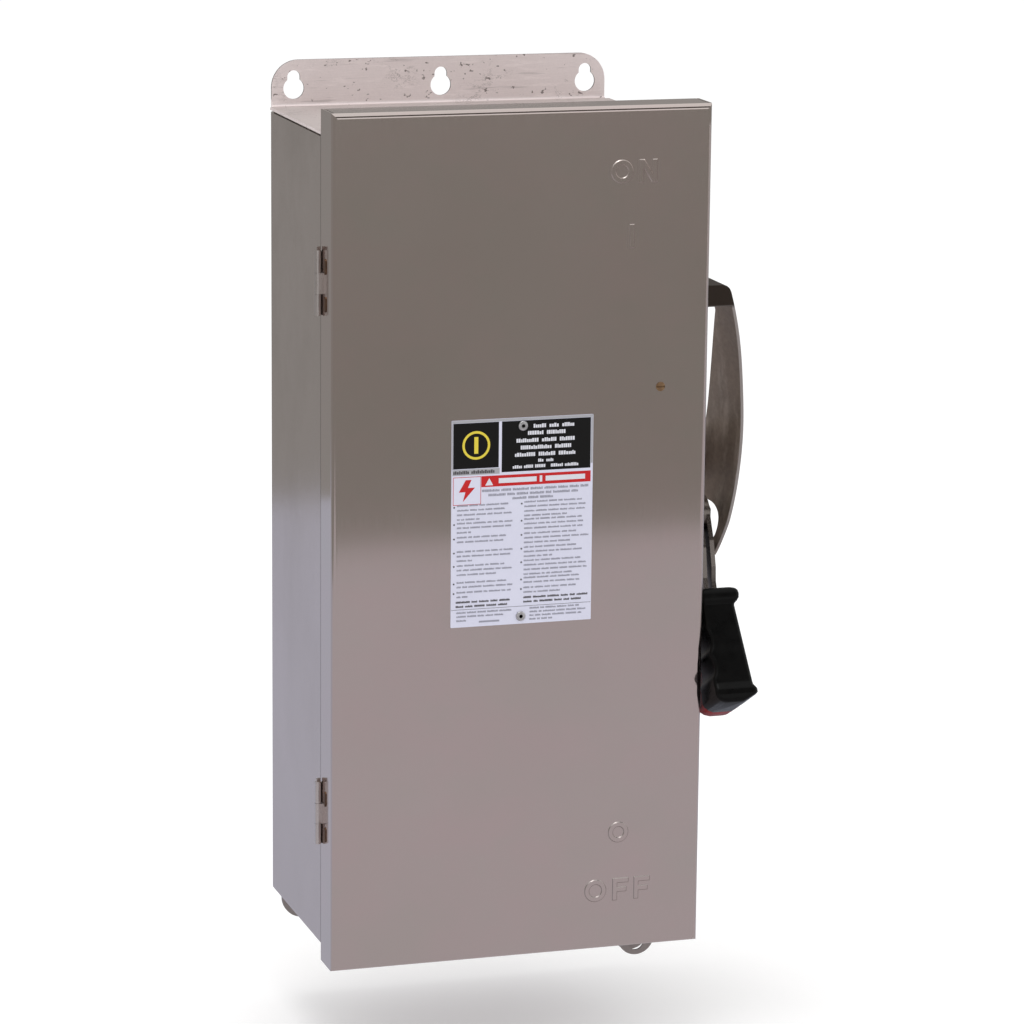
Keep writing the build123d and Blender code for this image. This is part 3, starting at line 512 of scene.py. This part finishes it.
# v, left and right ends, shortest and longest word
HEADER_LINES = (
    (0.042, 0.575, 0.87, 0.05, 0.15),
    (0.075, 0.535, 0.915, 0.09, 0.18),
    (0.110, 0.455, 0.88, 0.10, 0.26),
    (0.144, 0.485, 0.85, 0.10, 0.24),
    (0.178, 0.445, 0.88, 0.12, 0.24),
)
for v, u0, u1, shortest, longest in HEADER_LINES:
    white_ink.words(u0, u1, v, 0.0185, shortest, longest, 0.022)
white_ink.words(0.610, 0.725, 0.209, 0.015, 0.03, 0.07, 0.018)
white_ink.words(0.430, 0.660, 0.236, 0.015, 0.06, 0.10, 0.012)
white_ink.words(0.700, 0.900, 0.236, 0.015, 0.06, 0.10, 0.012)
white_ink.shape(((0.237, 0.318), (0.293, 0.318), (0.265, 0.283)))
white_ink.bar(0.332, 0.286, 0.600, 0.310)
white_ink.bar(0.622, 0.283, 0.640, 0.313)
white_ink.bar(0.664, 0.286, 0.945, 0.310)
white_ink.done()

red_ink = Print("label_red_strip", print_ink("ink_red", (0.52, 0.012, 0.014)), 0)
red_ink.bar(0.210, 0.272, 0.985, 0.325)
red_ink.bar(0.011, 0.272, 0.208, 0.2745)
red_ink.bar(0.011, 0.4045, 0.208, 0.407)
red_ink.bar(0.011, 0.2745, 0.0145, 0.4045)
red_ink.bar(0.2045, 0.2745, 0.208, 0.4045)
red_ink.shape(((0.100, 0.287), (0.052, 0.345), (0.098, 0.345), (0.080, 0.392), (0.165, 0.325), (0.116, 0.325),
               (0.140, 0.287)))
red_ink.done()

dark_ink = Print("label_dark_bars", print_ink("ink_dark", (0.075, 0.07, 0.075)), 1)
dark_ink.words(0.012, 0.310, 0.250, 0.016, 0.10, 0.20, 0.014)
for v in (0.417, 0.500, 0.570, 0.638, 0.703, 0.788, 0.835):
    dark_ink.disc(0.020, v, 0.0062, 10)
for v in (0.415, 0.498, 0.567, 0.634, 0.700, 0.784, 0.831):
    dark_ink.disc(0.497, v, 0.0062, 10)
dark_ink.words(0.035, 0.425, 0.878, 0.0095, 0.03, 0.10, 0.012)
dark_ink.words(0.035, 0.430, 0.899, 0.0095, 0.03, 0.10, 0.012)
dark_ink.words(0.515, 0.970, 0.872, 0.0095, 0.03, 0.10, 0.012)
dark_ink.words(0.515, 0.965, 0.893, 0.0095, 0.03, 0.10, 0.012)
dark_ink.bar(0.004, 0.9135, 0.996, 0.9150)
dark_ink.done()

grey_ink = Print("label_grey_bars", print_ink("ink_grey", (0.30, 0.30, 0.36)), 1)
for v, u0, u1 in ((0.343, 0.215, 0.970), (0.365, 0.260, 0.910), (0.386, 0.430, 0.745)):
    grey_ink.words(u0, u1, v, 0.0115, 0.04, 0.13, 0.011)
SMALL_PRINT = (0.0082, 0.02, 0.09, 0.009)  # height, shortest and longest word, gap
LINE_PITCH = 0.0222
# paragraphs: first line's v, number of lines, where the last line ends
LEFT_GROUPS = ((0.410, 4, 0.20), (0.495, 3, 0.14), (0.563, 2, 0.37), (0.632, 3, 0.15), (0.700, 3, 0.32),
               (0.782, 2, 0.44), (0.830, 2, 0.12))
RIGHT_GROUPS = ((0.407, 4, 0.82), (0.491, 3, 0.94), (0.560, 3, 0.84), (0.627, 3, 0.72), (0.692, 4, 0.86),
                (0.776, 2, 0.91), (0.824, 2, 0.80))
COLUMNS = ((LEFT_GROUPS, 0.040, 0.38, 0.45), (RIGHT_GROUPS, 0.515, 0.90, 0.98))
for groups, left_u, ragged_low, ragged_high in COLUMNS:
    for first_v, count, last_u in groups:
        for line in range(count):
            end_u = last_u if line == count - 1 else random.uniform(ragged_low, ragged_high)
            grey_ink.words(left_u, end_u, first_v + LINE_PITCH * line, *SMALL_PRINT)
for v, u1 in ((0.929, 0.43), (0.948, 0.40), (0.968, 0.11)):
    grey_ink.words(0.040, u1, v, *SMALL_PRINT)
for v, u1 in ((0.926, 0.94), (0.944, 0.96), (0.962, 0.95), (0.980, 0.75)):
    grey_ink.words(0.560, u1, v, *SMALL_PRINT)
grey_ink.bar(0.200, 0.9735, 0.345, 0.982)
grey_ink.done()


# ------------------------------------------------------------------ the grip
# in mm, drawn along an upright handle whose pivot is at y 0, z 0, then leaned to where it rests at OFF
HANDLE_PIVOT_Y = -105.6
HANDLE_PIVOT_Z = -275.5
HANDLE_LEAN = math.radians(28.0)
GRIP_SPLIT_Y = 10.0
GRIP_LIP = 0.35      # the small chamfer where the two halves meet
GRIP_GAP = 0.02      # between the halves
BACK_SET_IN = 0.25   # the red half is this much narrower on each side
FRONT_LEFT_R = 2.6
BACK_LEFT_R = 3.0
RIGHT_R = 3.4
GRIP_SHARP = 32.0
SCALLOP_R = 13.6
SCALLOP_DEPTH = 2.4
SCALLOP_MIDDLES = (-91.0, -108.5)
SCALLOPED_TOP = -68.0
SCALLOPED_END = -122.0


def straight(value, points):
    """Straight interpolation through (position, amount) points, the positions falling."""
    if value >= points[0][0]:
        return points[0][1]
    for (p0, a0), (p1, a1) in zip(points, points[1:]):
        if value >= p1:
            return a0 + (a1 - a0) * (p0 - value) / (p0 - p1)
    return points[-1][1]


def scallop(z):
    """How far a finger scallop cuts in at this height."""
    cut = 0.0
    for middle in SCALLOP_MIDDLES:
        off = abs(z - middle)
        if off < SCALLOP_R:
            cut = max(cut, math.sqrt(SCALLOP_R ** 2 - off ** 2) - (SCALLOP_R - SCALLOP_DEPTH))
    return cut


# outlines down the grip as (z, x) or (z, y) points
RIGHT_SIDE = ((-56.0, 158.3), (-56.6, 160.1), (-58.0, 161.5), (-60.6, 162.0), (-63.2, 161.6), (-65.2, 160.2),
              (-66.6, 158.6), (-68.0, 158.2))
RIGHT_LOW = ((-68.0, 158.2), (-122.0, 163.0), (-123.4, 164.1), (-125.0, 164.9), (-127.2, 165.0),
             (-128.6, 163.6), (-133.0, 155.0))
FRONT_FACE = ((-56.0, -17.4), (-57.0, -18.9), (-59.0, -19.9), (-61.5, -20.0), (-64.0, -19.7), (-66.0, -18.8),
              (-67.2, -18.3), (-120.0, -18.5), (-122.5, -19.3), (-124.5, -20.0), (-128.0, -20.0),
              (-131.0, -19.4), (-132.4, -18.6), (-133.0, -17.6))
LEFT_SIDE = ((-56.0, 137.4), (-57.2, 136.0), (-59.0, 135.4), (-64.0, 135.4), (-67.0, 136.0),
             (-122.0, 135.7), (-127.5, 135.5), (-129.6, 136.6), (-131.6, 138.8), (-133.0, 141.6))
BACK_FACE = ((-56.0, 22.4), (-57.4, 23.6), (-60.0, 24.0), (-129.6, 24.0), (-131.8, 23.2), (-133.0, 21.8))


def stations(tables, step=1.6):
    """Heights of the loft's rings: every outline point, and even steps over the scalloped stretch."""
    found = set()
    for table_points in tables:
        for z, _ in table_points:
            found.add(z)
    z = SCALLOPED_TOP
    while z > SCALLOPED_END:
        found.add(round(z, 3))
        z -= step
    return sorted(found, reverse=True)


def arc(cx, cy, r, start, end, steps=7):
    points = []
    for i in range(steps + 1):
        turn = math.radians(start + (end - start) * i / steps)
        points.append((cx + r * math.cos(turn), cy + r * math.sin(turn)))
    return points


def front_ring(z):
    """The black half's outline at one height, anticlockwise from its left edge."""
    left = straight(z, LEFT_SIDE) + scallop(z)
    right = straight(z, RIGHT_SIDE + RIGHT_LOW[1:])
    near = straight(z, FRONT_FACE)
    ring = [(left + GRIP_LIP, GRIP_SPLIT_Y), (left, GRIP_SPLIT_Y - GRIP_LIP)]
    ring += arc(left + FRONT_LEFT_R, near + FRONT_LEFT_R, FRONT_LEFT_R, 180.0, 270.0)
    ring += arc(right - RIGHT_R, near + RIGHT_R, RIGHT_R, 270.0, 360.0)
    ring += [(right, GRIP_SPLIT_Y - GRIP_LIP), (right - GRIP_LIP, GRIP_SPLIT_Y)]
    return ring


def back_ring(z):
    """The red half's outline at one height, anticlockwise from its right edge."""
    left = straight(z, LEFT_SIDE) + scallop(z) + BACK_SET_IN
    right = straight(z, RIGHT_SIDE + RIGHT_LOW[1:]) - BACK_SET_IN
    far = straight(z, BACK_FACE)
    ring = [(right - GRIP_LIP, GRIP_SPLIT_Y + GRIP_GAP), (right, GRIP_SPLIT_Y + GRIP_LIP)]
    ring += arc(right - RIGHT_R, far - RIGHT_R, RIGHT_R, 0.0, 90.0)
    ring += arc(left + BACK_LEFT_R, far - BACK_LEFT_R, BACK_LEFT_R, 90.0, 180.0)
    ring += [(left, GRIP_SPLIT_Y + GRIP_LIP), (left + GRIP_LIP, GRIP_SPLIT_Y + GRIP_GAP)]
    return ring


def grip_half(name, ring_at, tables, material, node):
    """A closed loft down the handle, then leaned to where the handle rests at OFF."""
    rings = []
    for z in stations(tables):
        rings.append([(x, y, z) for x, y in ring_at(z)])
    verts = []
    for ring in rings:
        for x, y, z in ring:
            row_y = HANDLE_PIVOT_Y + y * math.cos(HANDLE_LEAN) + z * math.sin(HANDLE_LEAN)
            row_z = HANDLE_PIVOT_Z - y * math.sin(HANDLE_LEAN) + z * math.cos(HANDLE_LEAN)
            verts.append((x * MM, row_y * MM, row_z * MM))
    count = len(rings[0])
    faces = [tuple(range(count)), tuple(reversed(range(len(verts) - count, len(verts))))]
    for k in range(len(rings) - 1):
        for i in range(count):
            j = (i + 1) % count
            faces.append((k * count + i, (k + 1) * count + i, (k + 1) * count + j, k * count + j))
    obj = placed(name, smoothed(closed_mesh(name, verts, faces, material), GRIP_SHARP))
    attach(obj, "handle")
    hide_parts(node)
    return obj


front_grip = grip_half("grip_front_shell", front_ring, (RIGHT_SIDE, RIGHT_LOW, FRONT_FACE, LEFT_SIDE),
                       M_BLACK, "grip_front_half")
back_grip = grip_half("grip_back_shell", back_ring, (RIGHT_SIDE, RIGHT_LOW, BACK_FACE, LEFT_SIDE),
                      M_RED, "grip_back_half")


# ------------------------------------------------------------- soft foam parts
FOAM_SHARP = 50.0


def closed_loop(name, rings, material, body, node):
    """Skin a closed chain of closed rings, each ring the same section further round."""
    verts = [point for ring in rings for point in ring]
    count = len(rings[0])
    faces = []
    for k in range(len(rings)):
        a = k * count
        b = ((k + 1) % len(rings)) * count
        for i in range(count):
            j = (i + 1) % count
            faces.append((a + i, b + i, b + j, a + j))
    obj = placed(name, smoothed(closed_mesh(name, verts, faces, material), FOAM_SHARP))
    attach(obj, body)
    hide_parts(node)
    return obj


GASKET_WIDE = 6.8 * MM
GASKET_INSET = 0.1 * MM
GASKET_PITCH = 10.0 * MM  # from one section to the next
GASKET_SAG = 0.03         # the most that the top sinks, as a share of its height
# across the strip and up from the door, both as shares of the strip's width and height
GASKET_SECTION = ((0.12, 0.0), (0.0, 0.22), (0.0, 0.76), (0.06, 0.90), (0.18, 0.98), (0.34, 0.99),
                  (0.44, 0.94), (0.50, 0.925), (0.56, 0.94), (0.66, 0.99), (0.82, 0.98), (0.94, 0.90),
                  (1.0, 0.76), (1.0, 0.10), (0.97, 0.0))
gasket_low, gasket_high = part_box("door_gasket")
GASKET_HIGH = gasket_high[1] - gasket_low[1]
corners = ((gasket_low[0], gasket_low[2], 1, 1), (gasket_high[0], gasket_low[2], -1, 1),
           (gasket_high[0], gasket_high[2], -1, -1), (gasket_low[0], gasket_high[2], 1, -1))
foam_rings = []
for side in range(4):
    x0, z0, in_x0, in_z0 = corners[side]
    x1, z1, in_x1, in_z1 = corners[(side + 1) % 4]
    steps = int(max(abs(x1 - x0), abs(z1 - z0)) / GASKET_PITCH)
    for step in range(steps):
        t = step / steps
        sag = 0.0 if step == 0 else random.uniform(0.0, GASKET_SAG)
        ring = []
        for across, up in GASKET_SECTION:
            inset = GASKET_INSET + across * (GASKET_WIDE - 2 * GASKET_INSET)
            start = (x0 + in_x0 * inset, z0 + in_z0 * inset)
            stop = (x1 + in_x1 * inset, z1 + in_z1 * inset)
            up_here = up * (1.0 - sag) if up > 0.8 else up
            ring.append((start[0] + (stop[0] - start[0]) * t, gasket_low[1] + GASKET_HIGH * up_here,
                         start[1] + (stop[1] - start[1]) * t))
        foam_rings.append(ring)
closed_loop("gasket_strip", foam_rings, M_GASKET, "door", "door_gasket")

seal_low, seal_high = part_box("shaft_seal")
# along the shaft and outwards, as shares of the seal's length and wall
SEAL_SECTION = ((0.0, 0.2), (0.08, 0.05), (0.25, 0.0), (0.75, 0.0), (0.92, 0.05), (1.0, 0.2), (1.0, 0.8),
                (0.92, 0.95), (0.75, 1.0), (0.25, 1.0), (0.08, 0.95), (0.0, 0.8))
SEAL_STEPS = 72
SEAL_IN = 6.6 * MM  # inner radius, clear of the shaft
seal_y = (seal_low[1] + seal_high[1]) / 2
seal_z = (seal_low[2] + seal_high[2]) / 2
seal_out = (seal_high[1] - seal_low[1]) / 2
seal_rings = []
for step in range(SEAL_STEPS):
    turn = 2.0 * math.pi * step / SEAL_STEPS
    ring = []
    for along, out in SEAL_SECTION:
        x = seal_low[0] + (seal_high[0] - seal_low[0]) * along
        r = SEAL_IN + (seal_out - SEAL_IN) * out
        ring.append((x, seal_y + r * math.cos(turn), seal_z + r * math.sin(turn)))
    seal_rings.append(ring)
closed_loop("seal_ring", seal_rings, M_GASKET, "enclosure", "shaft_seal")


# --------------------------------------------------------------------- camera
def camera_at(position, yaw, pitch, roll, lens):
    """A camera aimed by yaw to the right of +Y, pitch downwards, and roll, all in degrees."""
    yaw, pitch, roll = math.radians(yaw), math.radians(pitch), math.radians(roll)
    ahead = Vector((math.sin(yaw) * math.cos(pitch), math.cos(yaw) * math.cos(pitch), -math.sin(pitch)))
    right = Vector((math.cos(yaw), -math.sin(yaw), 0.0))
    up = right.cross(ahead)
    turned = right * math.cos(roll) + up * math.sin(roll)
    top = up * math.cos(roll) - right * math.sin(roll)
    data = bpy.data.cameras.new("camera")
    data.sensor_width = 36.0
    data.lens = lens
    cam = placed("camera", data)
    basis = Matrix((turned, top, -ahead)).transposed().to_4x4()
    cam.matrix_world = Matrix.Translation(position) @ basis
    bpy.context.scene.camera = cam
    return cam


# fitted to points measured on the photo
CAMERA_PLACE = (-0.79516, -2.69846, 0.32701)
CAMERA_YAW, CAMERA_PITCH, CAMERA_ROLL = 17.44298, 12.34378, 0.56691
CAMERA_LENS = 150.09
camera_at(Vector(CAMERA_PLACE), CAMERA_YAW, CAMERA_PITCH, CAMERA_ROLL, CAMERA_LENS)

# ---------------------------------------------------------------------- stage
FLOOR_Z = -0.62
FLOOR_HALF = 12
WORLD_STRENGTH = 0.95


def card(name, corners, material):
    mesh = bpy.data.meshes.new(name)
    mesh.from_pydata(list(corners), [], [(0, 1, 2, 3)])
    mesh.materials.append(material)
    obj = placed(name, mesh)
    return obj


def flat_card(name, x0, x1, y0, y1, z, material):
    return card(name, ((x0, y0, z), (x1, y0, z), (x1, y1, z), (x0, y1, z)), material)


def wall_card(name, x0, x1, y, z0, z1, material):
    return card(name, ((x0, y, z0), (x1, y, z0), (x1, y, z1), (x0, y, z1)), material)


def side_card(name, x, y0, y1, z0, z1, material):
    return card(name, ((x, y0, z0), (x, y1, z0), (x, y1, z1), (x, y0, z1)), material)


def glow(name, tone):
    mat = bpy.data.materials.new(name)
    mat.use_nodes = True
    tree = mat.node_tree
    tree.nodes.clear()
    out = tree.nodes.new("ShaderNodeOutputMaterial")
    emit = tree.nodes.new("ShaderNodeEmission")
    emit.inputs["Color"].default_value = (*tone, 1.0)
    tree.links.new(emit.outputs[0], out.inputs["Surface"])
    return mat


def seen_only_in_gloss(obj):
    obj.visible_camera = False
    obj.visible_diffuse = False
    obj.visible_shadow = False
    obj.visible_transmission = False
    return obj


floor_shader = Shader("pale_floor", (0.96, 0.96, 0.96), 0.0, 0.9)
floor_shader.set(Specular_IOR_Level=0.0, Emission_Color=(1.0, 1.0, 1.0, 1.0), Emission_Strength=0.10)
flat_card("floor", -FLOOR_HALF, FLOOR_HALF, -FLOOR_HALF, FLOOR_HALF, FLOOR_Z, floor_shader.mat)

# What the satin sheet mirrors: floor cards near and far, each split under the box, a wall behind, a wall on
# the left and a dim room beyond the camera. Only reflections see them. Their tones were matched to this view.
CARD_Z = FLOOR_Z + 0.01
FAR_Z = CARD_Z - 0.004
FRONT_EDGE = -1.60
BACK_EDGE = 1.50
SPLIT_Y = -0.07
REFLECTED = (
    flat_card("near_front", -1.45, 3.0, FRONT_EDGE, SPLIT_Y, CARD_Z,
              glow("near_front_glow", (0.545, 0.515, 0.545))),
    flat_card("near_back", -1.45, 3.0, SPLIT_Y, BACK_EDGE, CARD_Z,
              glow("near_back_glow", (0.50, 0.515, 0.60))),
    flat_card("far_front", -8.0, 8.0, -7.5, SPLIT_Y, FAR_Z, glow("far_front_glow", (0.300, 0.288, 0.272))),
    flat_card("far_back", -8.0, 8.0, SPLIT_Y, 7.5, FAR_Z, glow("far_back_glow", (0.318, 0.31, 0.30))),
    wall_card("room_behind_camera", -8, 8, -7.0, 3.0, 8.5, glow("room_glow", (0.10, 0.09, 0.085))),
    wall_card("wall_behind", -8, 8, 7.6, CARD_Z, 4.5, glow("wall_glow", (0.33, 0.315, 0.30))),
    side_card("wall_left", -6.0, -7.0, 7.5, CARD_Z, 4.5, glow("left_glow", (0.40, 0.38, 0.365))),
)
for piece in REFLECTED:
    seen_only_in_gloss(piece)

world = bpy.data.worlds.new("studio")
bpy.context.scene.world = world
world.use_nodes = True
background = world.node_tree.nodes["Background"]
background.inputs["Color"].default_value = (1.0, 1.0, 1.0, 1.0)
background.inputs["Strength"].default_value = WORLD_STRENGTH
bpy.context.scene.view_settings.view_transform = "Standard"


def soft_light(name, place, aim, size, power):
    data = bpy.data.lights.new(name, "AREA")
    data.shape = "RECTANGLE"
    data.size, data.size_y = size
    data.energy = power
    light = placed(name, data)
    light.location = place
    light.rotation_euler = (Vector(aim) - Vector(place)).to_track_quat("-Z", "Y").to_euler()
    return light


soft_light("top_light", (-0.5, -0.4, 2.6), (0.0, 0.0, -0.2), (1.8, 1.2), 22.0)
